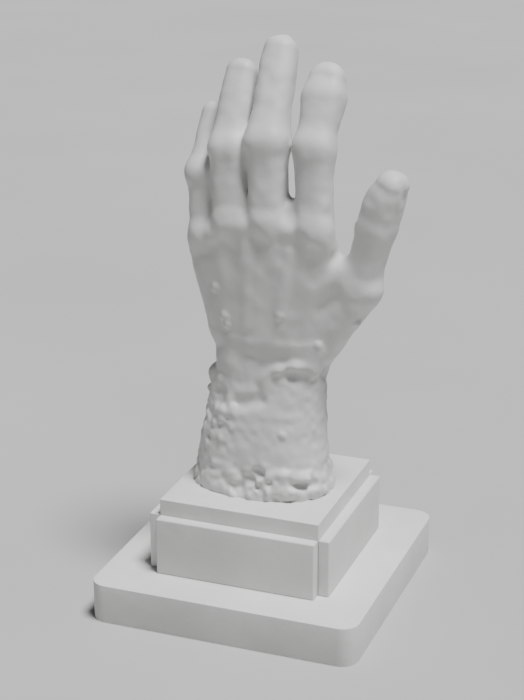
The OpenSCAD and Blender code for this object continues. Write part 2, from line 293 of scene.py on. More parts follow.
def forearm_shape():
    heights = np.array(sorted(FOREARM)) + DECK_Z
    profile = np.array([FOREARM[h] for h in sorted(FOREARM)])

    def at_height(z, column):
        near = [np.interp(z + s, heights, profile[:, column]) for s in FOREARM_SMOOTHING]
        return np.mean(near, axis=0)

    def distance(at):
        x, y, z = at
        mid_x, mid_y, half_w, half_d = [at_height(z, column) for column in range(4)]
        u = np.abs((x - mid_x) / half_w) ** FOREARM_SQUARE
        v = np.abs((y - mid_y) / half_d) ** FOREARM_SQUARE
        across = (u + v) ** (1 / FOREARM_SQUARE)
        return np.maximum((across - 1) * half_d, z - heights[-1])

    low, high = np.array([-48, -36, DECK_Z - 6]), np.array([48, 36, heights[-1]])
    return Shape(low, high, distance, FOREARM_SPREAD)


BAR_SAMPLES, BAR_SMOOTHING = 61, 5  # places along a bar, and how many each way a mean takes in


def bar(start, end, side, stations):
    """A round-ended bar through (share, radius, pad) stations; pad moves it along its depth."""
    along = end - start
    length = np.linalg.norm(along)
    along = along / length
    side = unit(side - along * (side @ along))
    depth = np.cross(side, along)
    shares, radii, pads = np.array(stations, float).T
    fine = np.linspace(0, 1, BAR_SAMPLES)
    window = 2 * BAR_SMOOTHING + 1

    def smoothed(values):
        padded = np.pad(np.interp(fine, shares, values), BAR_SMOOTHING, mode="edge")
        return np.convolve(padded, np.ones(window) / window, mode="valid")

    radius_at, pad_at = smoothed(radii), smoothed(pads)
    reach = radii.max() + np.abs(pads).max()

    def distance(at):
        p = [at[i] - start[i] for i in range(3)]
        w = sum(p[i] * along[i] for i in range(3))
        near = np.clip(w / length, 0, 1)
        u = sum(p[i] * side[i] for i in range(3)) / FLESH_WIDE
        v = sum(p[i] * depth[i] for i in range(3)) + np.interp(near, fine, pad_at)
        across = (np.abs(u) ** FLESH_SQUARE + np.abs(v) ** FLESH_SQUARE) ** (1 / FLESH_SQUARE)
        past = w - near * length
        return np.sqrt(across**2 + past**2) - np.interp(near, fine, radius_at) / FLESH_WIDE

    low, high = np.minimum(start, end) - reach, np.maximum(start, end) + reach
    return Shape(low, high, distance, FLESH_WIDE)


# Where along each part of a digit its half widths hold, as shares of the part's length
LOWER_SHARES = (0, 0.35, 0.7, 0.92, 1)
UPPER_SHARES = (0, 0.08, 0.3, 0.5, 0.76, 1)
DIGIT_BLEND = 2.5


def add_digit(field, d, pads=(0, 0, 0, 0, 0)):
    """A digit's lower and upper parts; pads moves the upper part's stations away from its back."""
    knuckle_r, waist_r, joint_r, above_r, end_r, pad_r, tip_r = d.radii
    lower = zip(LOWER_SHARES, (knuckle_r, waist_r, waist_r, joint_r, joint_r), (0, 0, 0, 0, 0))
    upper = zip(UPPER_SHARES, (joint_r, joint_r, above_r, end_r, pad_r, tip_r), (pads[0], *pads))
    field.join(bar(d.knuckle, d.joint, d.side, list(lower)), DIGIT_BLEND)
    field.join(bar(d.joint, d.tip, d.side, list(upper)), DIGIT_BLEND)


# Where each finger's bone starts in the wrist, and its radius there
CARPUS = {
    "index": ((14, 3, 160), 13.0),
    "middle": ((4, 1, 158), 14.0),
    "ring": ((-8, 2, 158), 13.5),
    "little": ((-16.5, 5, 162), 13.0),
}


# Flesh from the wrist to the edges of the hand: its two ends, its radius at each, and its blend
EDGE_FLESH = [
    ((-24.5, 6, 163), (-34.6, 5, 195), 12.6, 10.4, 6),  # below the little finger
    ((24, 9, 152), THUMB.knuckle + (-3, 3, -4), 13, 10, 8),
    ((32, 4, 157), THUMB.knuckle - (0.5, 0, 0), 10.5, THUMB.radii[0], 6),
    ((32, 13, 168), (47, 12, 189), 11, 11, 6),  # the ball of the thumb
]


def add_palm(field):
    """The palm: a bar from the wrist to each knuckle, what fills between them, edges, knuckles."""
    ends = {
        name: (np.array(start), radius, HAND[name].knuckle + (0, 1, -6), HAND[name].radii[0] - 0.3)
        for name, (start, radius) in CARPUS.items()
    }
    for start, start_r, end, end_r in ends.values():
        field.join(limb(start, end, start_r, end_r, ACROSS, 1.1, FLESH_SQUARE), 6)
    for left, right in NEIGHBOURS:
        a, b = ends[left], ends[right]
        low, high = (a[0] + b[0]) / 2, (a[2] + b[2]) / 2 - (0, 0, 3)
        field.join(limb(low, high, a[1] - 1, min(a[3], b[3]) - 0.3, ACROSS, 1.2), 6)
    heel = limb((-1, 5, 152), (-3, 4, 198), 13, 12, ACROSS, 2.1, 2.5)
    field.join(heel, 8)
    for start, end, start_r, end_r, blend in EDGE_FLESH:
        field.join(limb(start, end, start_r, end_r), blend)
    for d in HAND.values():
        finger_pad = ball(d.knuckle + (0, 9, -12), (10, 8, 9))
        knuckle = ball(d.knuckle + (0, -2.8, 2.5), (d.radii[0] * 1.05, 8.6, 11))
        field.join(finger_pad, 6)
        field.join(knuckle, 3.5)
    for left, right in NEIGHBOURS:
        field.join(ball(midway(left, right) + (0, -2.2, 0.5), (7, 7.5, 6.5)), 4)
    thumb_knuckle = ball(THUMB.knuckle + (2.4, -1.6, 1.5), (11, 9.6, 9))
    field.join(thumb_knuckle, 6)


def add_webs(field):
    """The skin between the roots of the fingers and beside the thumb."""
    for left, right in NEIGHBOURS:
        middle = midway(left, right)
        palm_side = limb(middle + (0, 4, -8), middle + (0, 5, 9.5), 8, 6.5, ACROSS, 1.25)
        back_side = limb(middle + (0, -1, -1), middle + (0, 3, 9.5), 7.5, 6, ACROSS, 1.1)
        field.join(palm_side, 6)
        field.join(back_side, 4)
    thumb_web = limb((30, 4, 193), (43.5, 4, 198), 10.5, 9.5)
    field.join(thumb_web, 6)


# Marks on the back of the glove: x and z of each end, radius, and how deep its centre lies
TENDONS = [
    ((-7, 214), (-8, 166), 2.2, 2.7),
    ((17, 212), (12, 178), 2.2, 2.6),
]
FOLDS = [
    ((-17, 141), (-8, 140), 11.0, 9.7),
    ((3, 136), (12, 140), 4.2, 3.4),
    ((12, 140), (20, 142.5), 3.8, 2.6),
    ((20, 142.5), (28, 142.5), 3.6, 2.5),
    ((28, 143), (32, 154), 4.2, 3.4),
]
HOLLOWS = [
    # x, z, half sizes, and how far outside the skin the middle lies
    (-3, 214, (6, 3.2, 9), 1.9),
    (22, 211, (7, 3.4, 11), 1.9),
    (34, 205, (7, 3.4, 10), 2.2),
    (-20, 208, (6, 3.2, 9), 2.2),
]
CREASES = [
    ((11, 137.3), (19, 139.5), 2.9, -1.7),
    ((19, 139.5), (27, 140.6), 2.6, -1.6),
    ((-12, 121), (1, 124.5), 3.6, -2.3),
    ((-26, 124), (-24, 122), 3.4, -2.2),
]
BUMPS = [
    # x, z, radius, depth
    (-28, 186, 2.8, 1.4),
    (-21.5, 170, 3.2, 1.7),
    (-20, 165, 2.4, 1.0),
    (12, 175, 2.6, 1.3),
    (53, 172, 2.4, 1.2),
    (33, 158, 2.6, 1.6),
    (-24, 131, 4.0, 3.0),
    (-20, 114.5, 3.6, 2.2),
    (-15, 116.5, 3.4, 2.2),
    (-21, 109.5, 2.8, 1.4),
    (-25, 107, 3.0, 1.7),
    (-25, 101, 3.2, 1.7),
    (-20.5, 98.5, 2.6, 1.4),
    (-29, 93.5, 3.0, 1.7),
    (16, 105, 2.4, 1.5),
]
PALM_LINES = [
    # x and z of each line's points
    ((30, 193), (17, 188), (9, 176), (8, 160)),
    ((30, 196), (10, 191), (-10, 183), (-24, 174)),
    ((-42, 193), (-24, 192), (-4, 198), (8, 208)),
    ((-20, 152), (0, 149), (20, 150)),
]
SIDE_BUMPS = [
    # x, y, z, radius
    (-30.0, 0, 130.5, 5.8),
    (-35.0, -1, 121, 2.4),
    (-35.8, -5, 94, 2.8),
    (-37.6, -6, 83.5, 2.6),
]
# How soft each kind of mark's edge is
BLENDS = {
    "tendon": 4,
    "fold": 5,
    "hollow": 3,
    "crease": 4,
    "bump": 1.6,
    "side_bump": 3,
    "line": 1.8,
}
TAPER = 0.85  # a raised mark's radius at its far end, over that at its start


def add_marks(field):
    """Tendons, folds and lumps, laid on the back of the skin."""
    def on_back(x, z, depth):
        return field.back_skin(x, z) + (0, depth, 0)

    for x, z, sizes, outside in HOLLOWS:
        field.cut(ball(on_back(x, z, -outside), sizes), BLENDS["hollow"])
    for marks, kind in ((TENDONS, "tendon"), (FOLDS, "fold")):
        for start, end, radius, depth in marks:
            raised = limb(on_back(*start, depth), on_back(*end, depth), radius, radius * TAPER)
            field.join(raised, BLENDS[kind])
    for start, end, radius, depth in CREASES:
        pressed = limb(on_back(*start, depth), on_back(*end, depth), radius, radius)
        field.cut(pressed, BLENDS["crease"])
    for x, z, radius, depth in BUMPS:
        field.join(ball(on_back(x, z, depth), radius), BLENDS["bump"])
    for x, y, z, radius in SIDE_BUMPS:
        field.join(ball((x, y, z), radius), BLENDS["side_bump"])


def add_creases(field, starts, towards, radius, outside):
    """Presses a line into the skin where lines from starts to towards meet it."""
    at = [field.skin_point(a, b) for a, b in zip(starts, towards)]
    out = [unit(np.asarray(a) - b) * outside for a, b in zip(starts, at)]
    for (a, a_out), (b, b_out) in zip(zip(at, out), zip(at[1:], out[1:])):
        field.cut(limb(a + a_out, b + b_out, radius, radius), BLENDS["line"])


# The radius of a line, and how far outside the skin its middle lies
PALM_LINE, DIGIT_LINE = (1.5, 0.9), (1.4, 0.8)
IN_FRONT_OF_PALM, IN_FRONT_OF_DIGIT = 60, 24
LINE_ACROSS = (-0.75, -0.3, 0.3, 0.75)  # a digit line's points, as shares of its half width


def add_palm_lines(field):
    """The lines of the palm, and the creases across the inside of each digit."""
    for line in PALM_LINES:
        starts = [(x, IN_FRONT_OF_PALM, z) for x, z in line]
        add_creases(field, starts, [(x, 0, z) for x, z in line], *PALM_LINE)
    for d in (*HAND.values(), THUMB):
        spots = [(d.joint + (d.tip - d.joint) * UPPER_SHARES[1], d.radii[2])]
        if d is not THUMB:
            spots.append((d.joint + (d.tip - d.joint) * UPPER_SHARES[3], d.radii[4]))
            spots.append((d.knuckle + (d.joint - d.knuckle) * 0.5, d.radii[1]))
        for centre, radius in spots:
            across = [centre + d.side * radius * share for share in LINE_ACROSS]
            starts = [p - d.back * IN_FRONT_OF_DIGIT for p in across]
            add_creases(field, starts, across, *DIGIT_LINE)


# The thumb's nail: its middle along the end part, half its length and width, how far it stands up,
# how thick it is, the power of its outline, and the angle that stays sharp in it
Nail = namedtuple("Nail", "middle half_length half_width rise thick square sharp")
NAIL = Nail(0.83, 8.2, 5.8, 0.5, 0.7, 3, 0.9)
NAIL_BED, NAIL_BED_OUTSIDE, NAIL_BED_BLEND = (2.3, 5.0, 6.6), 1.5, 1.2
ABOVE_BED, ABOVE_NAIL = 25, 20  # where lines that look for the skin under the nail start


def nail_centre():
    return THUMB.joint + (THUMB.tip - THUMB.joint) * NAIL.middle


def add_nail_bed(field):
    centre = nail_centre()
    on_skin = field.skin_point(centre + THUMB.back * ABOVE_BED, centre)
    field.cut(ball(on_skin + THUMB.back * NAIL_BED_OUTSIDE, NAIL_BED), NAIL_BED_BLEND)


# The gathered lower edge: rolls of skin, each with its radius, through points that give the turn
# round the forearm in degrees and the height above the deck
HEM_ROLLS = [
    (((-68, 13), (-50, 14.5), (-30, 13), (-10, 8)), 3.2),
    (((-66, 5.5), (-45, 5.5), (-25, 4.5), (-6, 3), (12, 1.5)), 3.6),
    (((-87, 9), (-78, 11)), 3.4),
    (((-112, 2), (-80, 2)), 3.4),
    (((20, 9), (50, 12), (80, 8)), 3.0),
    (((100, 5), (130, 8), (160, 4)), 3.0),
]
HEM_HOLLOWS = [
    (((-99, 5), (-91, 12)), 4.0),
    (((-84, 16), (-77, 16)), 2.4),
    (((-45, 10), (-26, 9.5)), 1.9),
]
# How far inside or outside the skin their middles lie, as shares of the radius, and their blends
ROLL_INSIDE, HOLLOW_OUTSIDE = 0.55, 0.15
ROLL_BLEND, HOLLOW_BLEND = 3, 2.5
BESIDE_ARM = 70


def add_hem(field):
    """The glove's gathered lower edge: rolls and hollows, most of them at the front and right."""
    def round_arm(turn, height, inward):
        angle, z = math.radians(turn), DECK_Z + height
        out = np.array([math.cos(angle), math.sin(angle), 0])
        return field.skin_point(out * BESIDE_ARM + (0, 0, z), (-2, 0, z)) - out * inward

    for points, radius in HEM_ROLLS:
        ends = [round_arm(turn, height, radius * ROLL_INSIDE) for turn, height in points]
        for start, end in zip(ends, ends[1:]):
            field.join(limb(start, end, radius, radius), ROLL_BLEND)
    for points, radius in HEM_HOLLOWS:
        start, end = [round_arm(turn, height, -radius * HOLLOW_OUTSIDE) for turn, height in points]
        field.cut(limb(start, end, radius, radius), HOLLOW_BLEND)


BELOW_DECK = DECK_Z - 8
FIELD_LOW, FIELD_HIGH = (-60, -42, BELOW_DECK), (92, 62, 330)
# The skin's unevenness: box, size and height of its lumps, seed, and how wide its sides fade
UNEVEN = [
    (FIELD_LOW, FIELD_HIGH, 6, 0.3, 1, 6),
    (FIELD_LOW, (92, 62, 150), 4, 0.35, 2, 15),
    ((-50, -42, BELOW_DECK), (60, 40, 90), 3.6, 1.0, 3, 9),
    ((-50, -42, 90), (-8, 20, 132), 4, 0.9, 5, 9),
]


def build_field():
    field = Field(FIELD_LOW, FIELD_HIGH, GRID)
    field.join(forearm_shape(), 4)
    add_palm(field)
    for d in HAND.values():
        add_digit(field, d)
    add_digit(field, THUMB, THUMB_PAD)
    add_webs(field)
    add_marks(field)
    add_palm_lines(field)
    add_nail_bed(field)
    add_hem(field)
    for patch in UNEVEN:
        field.roughen(*patch)
    return field


# Meshing

def net(field):
    """Points and quads of the field's zero surface: one point in each cell that it crosses."""
    values = field.values
    inside = values < 0
    size = np.array(values.shape) - 1
    corners = list(np.ndindex(2, 2, 2))
    views = [inside[tuple(slice(c, n + c) for c, n in zip(corner, size))] for corner in corners]
    count = sum(view.astype(np.int8) for view in views)
    cells = np.argwhere((count > 0) & (count < 8))
    number = np.full(size, -1)
    number[tuple(cells.T)] = np.arange(len(cells))
    total, hits = np.zeros((len(cells), 3)), np.zeros(len(cells))
    for axis in range(3):
        step = np.eye(3, dtype=int)[axis]
        for corner in corners:
            if corner[axis]:
                continue
            a = values[tuple((cells + corner).T)]
            b = values[tuple((cells + corner + step).T)]
            crossed = (a < 0) != (b < 0)
            share = np.where(crossed, a / np.where(crossed, a - b, 1), 0)
            total += np.where(crossed[:, None], np.array(corner) + share[:, None] * step, 0)
            hits += crossed
    points = field.low + field.step * (cells + total / hits[:, None])
    quads = []
    for axis in range(3):
        u, v = [np.eye(3, dtype=int)[(axis + k) % 3] for k in (1, 2)]
        step = np.eye(3, dtype=int)[axis]
        first = np.argwhere(inside[tuple(slice(0, n) for n in size + 1 - step)]
                            != inside[tuple(slice(s, n) for s, n in zip(step, size + 1))])
        first = first[((first - u - v) >= 0).all(axis=1) & (first < size).all(axis=1)]
        ring = [number[tuple((first - o).T)] for o in (0 * u, u, u + v, v)]
        flip = ~inside[tuple(first.T)]
        quad = np.stack(ring, axis=1)
        quad[flip] = quad[flip][:, ::-1]
        quads.append(quad)
    return points, np.concatenate(quads)


ROUNDS, LEAST_STEEPNESS = 3, 0.05


def settled(field, points):
    """The points moved onto the zero surface, in rounds of at most half a cell each."""
    for _ in range(ROUNDS):
        slope = field.slope(points)
        steepness = np.maximum((slope**2).sum(axis=1), LEAST_STEEPNESS)
        move = -slope * (field.sample(points) / steepness)[:, None]
        points = points + np.clip(move, -0.5 * field.step, 0.5 * field.step)
    return points


# Where the glove is cut, and what each piece rides

Plane = namedtuple("Plane", "point normal")
# A piece of glove: the bodies it rides, the CAD node it stands in for, and where it bends, as a
# plane and a reach from it
Piece = namedtuple("Piece", "name bodies node zone")

THUMB_WEB = np.array([41.0, 5.0, 207.5])
THUMB_SPLIT = Plane(THUMB_WEB, unit((0.998, 0, 0.057)))
THUMB_BORDER = Plane(THUMB_WEB, unit((53, 0, -9)))
THUMB_KNUCKLE = Plane(np.array([48, 5, 215.7]), unit((0.738, 0, 0.675)))
THUMB_HALFWAY = 35
THUMB_END = Plane(THUMB.knuckle + THUMB_HALFWAY * THUMB.lower, THUMB.lower)
THUMB_LOWEST, THUMB_INNERMOST = 152, 30
WRIST_BOTTOM, WRIST_MIDDLE, WRIST_TOP = 112, 130, 150
WRIST_LOW, WRIST_HIGH = Plane(WRIST_BOTTOM * UP, UP), Plane(WRIST_TOP * UP, UP)
ROOT_DROP, ROOT_REACH, BEND_REACH = 10, 25, 11
BELOW_LANE, BESIDE_ROOT = 1.5, 0.5
CUT_REACH = 2.5 * GRID  # how near a plane the faces lie that it cuts


def plane_height(plane, points):
    return (points - plane.point) @ plane.normal


def lane(left, right):
    """The plane between two neighbouring fingers, through the point where their roots meet."""
    knuckles, joints = (left.knuckle + right.knuckle) / 2, (left.joint + right.joint) / 2
    rise = unit((joints - knuckles) * (1, 0, 1))
    return Plane(knuckles - ROOT_DROP * rise, np.array([rise[2], 0, -rise[0]]))


def outer_root(finger, sign):
    return finger.knuckle + (sign * (finger.radii[0] + BESIDE_ROOT), 0, -ROOT_DROP)


LANES = {left: lane(HAND[left], HAND[right]) for left, right in NEIGHBOURS}


def finger_cuts(name):
    """The plane at a finger's root and the one halfway up its lower part."""
    d, place = HAND[name], FINGERS.index(name)
    right = LANES[FINGERS[place - 1]].point if place else outer_root(d, 1)
    left = LANES[name].point if name in LANES else outer_root(d, -1)
    across = unit((right - left) * (1, 0, 1))
    root = Plane(left, np.array([-across[2], 0, across[0]]))
    length = np.linalg.norm(d.joint - d.knuckle)
    half = d.knuckle + d.lower * (length + ROOT_REACH - ROOT_DROP - BEND_REACH) / 2
    return root, Plane(half, d.lower)


CUTS = {name: finger_cuts(name) for name in FINGERS}


def region_names(at):
    """The name of the glove piece that each point belongs to."""
    found = np.full(len(at), "palm_skin", dtype="<U20")
    web = at[:, 2] > THUMB_WEB[2]
    thumb = np.where(web, plane_height(THUMB_BORDER, at), plane_height(THUMB_SPLIT, at)) > 0
    finger = np.full(len(at), "index", dtype="<U20")
    for left, right in NEIGHBOURS:
        finger[plane_height(LANES[left], at) < 0] = right
    for name, (root, half) in CUTS.items():
        mine = (finger == name) & ~thumb & (at[:, 2] > WRIST_HIGH.point[2])
        found[mine & (plane_height(root, at) > 0)] = f"{name}_root_skin"
        found[mine & (plane_height(half, at) > 0)] = f"{name}_end_skin"
    found[thumb] = "thumb_base_skin"
    found[thumb & (plane_height(THUMB_KNUCKLE, at) > 0)] = "thumb_root_skin"
    found[thumb & (plane_height(THUMB_END, at) > 0)] = "thumb_end_skin"
    found[plane_height(WRIST_HIGH, at) < 0] = "wrist_skin"
    found[plane_height(WRIST_LOW, at) < 0] = "forearm_skin"
    return found


def all_cuts():
    """Each cutting plane with a test for the points near which it is used."""
    def in_piece(*names):
        return lambda at: np.isin(region_names(at), names)

    def beside_thumb(at):
        in_height = (at[:, 2] > THUMB_LOWEST) & (at[:, 2] < THUMB_WEB[2] + 1)
        return in_height & (at[:, 0] > THUMB_INNERMOST)

    yield WRIST_LOW, lambda at: at[:, 2] < WRIST_MIDDLE
    yield WRIST_HIGH, lambda at: at[:, 2] > WRIST_MIDDLE
    yield THUMB_SPLIT, beside_thumb
    yield THUMB_KNUCKLE, in_piece("thumb_base_skin", "thumb_root_skin")
    yield THUMB_END, in_piece("thumb_root_skin", "thumb_end_skin")
    for plane in LANES.values():
        yield plane, lambda at, low=plane.point[2] - BELOW_LANE: at[:, 2] > low
    for name, (root, half) in CUTS.items():
        yield root, in_piece("palm_skin", f"{name}_root_skin")
        yield half, in_piece(f"{name}_root_skin", f"{name}_end_skin")


THUMB_PIECES = {
    "thumb_base": ("palm", "thumb_base", (THUMB_SPLIT, 6)),
    "thumb_root": ("thumb_base", "thumb_proximal", (THUMB_KNUCKLE, 9)),
    "thumb_end": ("thumb_proximal", "thumb_distal", (THUMB_END, 11)),
}
PIECES = [
    Piece("forearm_skin", ("stand",), "forearm_glove", None),
    Piece("wrist_skin", ("stand", "palm"), None, (WRIST_LOW, WRIST_TOP - WRIST_BOTTOM)),
    Piece("palm_skin", ("palm",), "palm_glove", None),
]
for name, (inner, outer, zone) in THUMB_PIECES.items():
    PIECES.append(Piece(f"{name}_skin", (inner, outer), f"{outer}_glove", zone))
for name, d in HAND.items():
    turn = unit(d.lower + d.upper)
    bend = Plane(d.joint - BEND_REACH * turn, turn)
    lower, upper = f"{name}_proximal", f"{name}_distal"
    root_zone, end_zone = (CUTS[name][0], ROOT_REACH), (bend, 2 * BEND_REACH)
    PIECES.append(Piece(f"{name}_root_skin", ("palm", lower), f"{lower}_glove", root_zone))
    PIECES.append(Piece(f"{name}_end_skin", (lower, upper), f"{upper}_glove", end_zone))


def centres(bm):
    return np.array([face.calc_center_median()[:] for face in bm.faces])


def cut_mesh(points, quads):
    """The skin as a bmesh, cut along every border between pieces and level with the plinth."""
    mesh = bpy.data.meshes.new("whole")
    mesh.from_pydata(points.tolist(), [], quads.tolist())
    bm = bmesh.new()
    bm.from_mesh(mesh)
    bpy.data.meshes.remove(mesh)
    everything = bm.verts[:] + bm.edges[:] + bm.faces[:]
    bmesh.ops.bisect_plane(bm, geom=everything, dist=1e-4, plane_co=(0, 0, DECK_Z),
                           plane_no=(0, 0, 1), clear_inner=True)
    for plane, used in all_cuts():
        at = centres(bm)
        near = (np.abs(plane_height(plane, at)) < CUT_REACH) & used(at)
        chosen = [face for face, take in zip(bm.faces, near) if take]
        edges = {edge for face in chosen for edge in face.edges}
        verts = {vert for face in chosen for vert in face.verts}
        bmesh.ops.bisect_plane(bm, geom=list(verts) + list(edges) + chosen, dist=1e-3,
                               plane_co=plane.point, plane_no=plane.normal)
    return bm


ON_PLANE = 0.02  # how far from a plane a vertex may lie and still be on it


def add_walls(bm, plane):
    """Closes the holes that a plane between two fingers leaves in a piece; gives the new faces."""
    def on_plane(vert):
        return abs((np.array(vert.co) - plane.point) @ plane.normal) < ON_PLANE

    holes = [edge for edge in bm.edges if edge.is_boundary and all(map(on_plane, edge.verts))]
    rim = dict.fromkeys(holes)  # a set would change its order from run to run
    walls = []
    while rim:
        chain, queue = [], [rim.popitem()[0]]
        while queue:
            edge = queue.pop()
            chain.append(edge)
            for vert in edge.verts:
                for other in vert.link_edges:
                    if other in rim:
                        del rim[other]
                        queue.append(other)
        count = {}
        for edge in chain:
            for vert in edge.verts:
                count[vert] = count.get(vert, 0) + 1
        ends = [vert for vert, n in count.items() if n == 1]
        if len(chain) < 4 or len(ends) not in (0, 2):
            continue
        if ends:
            chain.append(bm.edges.new(ends))
        made = bmesh.ops.triangle_fill(bm, edges=chain, use_beauty=True)
        walls += [item for item in made["geom"] if isinstance(item, bmesh.types.BMFace)]
    return walls


def piece_object(piece, whole, names, field):
    """One glove piece, with the field's normals on its skin and flat walls between fingers."""
    bm = whole.copy()
    others = [face for face, name in zip(bm.faces, names) if name != piece.name]
    bmesh.ops.delete(bm, geom=others, context="FACES")
    walls = []
    if "_root_" in piece.name or "_end_" in piece.name:
        walls = [(face, plane) for plane in LANES.values() for face in add_walls(bm, plane)]
    middle = np.mean([v.co for v in bm.verts], axis=0)
    for face, plane in walls:
        face.normal_update()
        outward = plane.normal * (-np.sign(plane_height(plane, middle)))
        if np.array(face.normal) @ outward < 0:
            face.normal_flip()
    flat = {face for face, _ in walls}
    for face in bm.faces:
        face.smooth = face not in flat
    bm.verts.index_update()
    at = np.array([v.co for v in bm.verts])
    skin = field.normals(at)
    normals = [
        skin[vert.index] if face.smooth else face.normal[:]
        for face in bm.faces for vert in face.verts
    ]
    mesh = bpy.data.meshes.new(piece.name)
    bm.to_mesh(mesh)
    bm.free()
    mesh.transform(Matrix.Scale(MM, 4))
    mesh.normals_split_custom_set([tuple(n) for n in normals])
    item = bpy.data.objects.new(piece.name, mesh)
    bpy.context.collection.objects.link(item)
    return item


def nail_object(field, rings=7, spokes=36):
    """The thumb's nail: a thin curved plate over the skin, sinking into it at its edge."""
    centre, top = nail_centre(), []
    for ring in range(rings + 1):
        reach = ring / rings
        for spoke in range(spokes if ring else 1):
            angle = 2 * math.pi * spoke / spokes
            u, v = math.cos(angle), math.sin(angle)
            corner = (abs(u) ** NAIL.square + abs(v) ** NAIL.square) ** (-1 / NAIL.square) * reach
            across = THUMB.side * u * corner * NAIL.half_width
            along = THUMB.upper * v * corner * NAIL.half_length
            under = centre + across + along
            on_skin = field.skin_point(under + THUMB.back * ABOVE_NAIL, under)
            above = NAIL.rise * (1.5 * (1 - reach**4) - 0.5)  # at the edge half the rise below
            top.append(on_skin + THUMB.back * above)
    count = len(top)
    points = [p * MM for p in top] + [(p - THUMB.back * NAIL.thick) * MM for p in top]

    def at(ring, spoke):
        return 1 + (ring - 1) * spokes + spoke % spokes if ring else 0

    faces = [(0, at(1, k), at(1, k + 1)) for k in range(spokes)]
    faces += [
        (at(r, k), at(r + 1, k), at(r + 1, k + 1), at(r, k + 1))
        for r in range(1, rings) for k in range(spokes)
    ]
    below = [tuple(count + i for i in reversed(face)) for face in faces]
    edge = [(at(rings, k), at(rings, k + 1)) for k in range(spokes)]
    rim = [(a, count + a, count + b, b) for a, b in edge]
    mesh = bpy.data.meshes.new("thumb_nail_plate")
    mesh.from_pydata([tuple(p) for p in points], [], faces + below + rim)
    mesh.shade_smooth()
    mesh.set_sharp_from_angle(angle=NAIL.sharp)
    item = bpy.data.objects.new("thumb_nail_plate", mesh)
    bpy.context.collection.objects.link(item)
    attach(item, "thumb_distal")
    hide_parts("thumb_nail")
    return item


def fit(item, piece):
    """Parents a piece that rides one body to that body's empty, bakes the placement of a piece that bends into its
    mesh, and hides the CAD node it is drawn over.
    """
    if piece.zone:
        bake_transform(item)
    else:
        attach(item, piece.bodies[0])
    if piece.node:
        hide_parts(piece.node)


def build_glove():
    field = build_field()
    points, quads = net(field)
    whole = cut_mesh(settled(field, points), quads)
    names = region_names(centres(whole))
    made = []
    for piece in PIECES:
        item = piece_object(piece, whole, names, field)
        fit(item, piece)
        made.append(item)
    whole.free()
    return field, made


field, glove = build_glove()
nail = nail_object(field)


# The plinth's softened edges

# Angles in radians: faces that count as one flat face, edges to round, and edges drawn sharp
FLAT, TO_ROUND, DRAWN_SHARP = 0.01, 0.6, 0.7


def softened(node, width):
    """A copy of a CAD node with its sharp edges rounded."""
    bm = bmesh.new()
    bm.from_mesh(frame["nodes"][node].data)
    bmesh.ops.remove_doubles(bm, verts=bm.verts[:], dist=1e-6)
    bmesh.ops.dissolve_limit(bm, angle_limit=FLAT, verts=bm.verts[:], edges=bm.edges[:])
    closed = [edge for edge in bm.edges if len(edge.link_faces) == 2]
    sharp = [edge for edge in closed if edge.calc_face_angle() > TO_ROUND]
    bmesh.ops.bevel(bm, geom=sharp, offset=width * MM, segments=4, profile=0.5, affect="EDGES",
                    clamp_overlap=True)
    mesh = bpy.data.meshes.new(f"soft_{node}")
    bm.to_mesh(mesh)
    bm.free()
    mesh.shade_smooth()
    mesh.set_sharp_from_angle(angle=DRAWN_SHARP)
    item = bpy.data.objects.new(f"soft_{node}", mesh)
    bpy.context.collection.objects.link(item)
    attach(item, "stand")
    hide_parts(node)
    return item


EDGE_SOFTNESS = {
    "base_slab": 1.8,
    "plinth_block": 0.7,
    "panel_front": 0.9,
    "panel_right": 0.9,
    "panel_back": 0.9,
    "panel_left": 0.9,
}
plinth = [softened(node, width) for node, width in EDGE_SOFTNESS.items()]


# Finishes

# Darkest and lightest shade, scale of the mottling, least and most roughness, metallic, scale and
# strength of the pits, and scale along Z, which below 1 draws the pattern out
Finish = namedtuple("Finish", "dark light mottle rough metallic pit depth stretch")
FINISHES = {
    "silicone": Finish((0.60, 0.60, 0.592), (0.70, 0.70, 0.69), 28, (0.50, 0.66), 0.0, 900, 0.1, 1),
    "nail": Finish((0.60, 0.60, 0.59), (0.69, 0.69, 0.68), 60, (0.34, 0.46), 0.0, 700, 0.05, 0.3),
    "stand": Finish((0.66, 0.66, 0.65), (0.73, 0.73, 0.72), 22, (0.50, 0.68), 0.0, 500, 0.14, 1),
    "frame": Finish((0.07, 0.075, 0.08), (0.11, 0.115, 0.12), 90, (0.45, 0.60), 0.0, 800, 0.15, 1),
    "nylon": Finish((0.03, 0.03, 0.032), (0.05, 0.05, 0.053), 120, (0.40, 0.55), 0.0, 900, 0.10, 1),
    "link": Finish((0.48, 0.49, 0.51), (0.58, 0.59, 0.61), 80, (0.30, 0.42), 1.0, 700, 0.08, 0.15),
    "steel": Finish((0.42, 0.43, 0.45), (0.54, 0.55, 0.57), 60, (0.22, 0.36), 1.0, 1100, 0.1, 0.06),
}


def noise_node(tree, vector, scale, detail):
    node = tree.nodes.new("ShaderNodeTexNoise")
    node.inputs["Scale"].default_value = scale
    node.inputs["Detail"].default_value = detail
    tree.links.new(vector, node.inputs["Vector"])
    return node.outputs["Fac"]


# The part of a noise's range that is spread over a roughness or a shade
ROUGH_BAND, SHADE_BAND = (0.32, 0.68), (0.34, 0.66)
PIT_HEIGHT, WAVE_HEIGHT = 0.0004, 0.0012
MOTTLE_DETAIL, ROUGH_DETAIL, BUMP_DETAIL = 6, 4, 3


def spread(tree, value, low, high):
    """Stretches a noise value's middle range over low to high."""
    node = tree.nodes.new("ShaderNodeMapRange")
    for name, number in zip(("From Min", "From Max", "To Min", "To Max"), (*ROUGH_BAND, low, high)):
        node.inputs[name].default_value = number
    tree.links.new(value, node.inputs["Value"])
    return node.outputs["Result"]


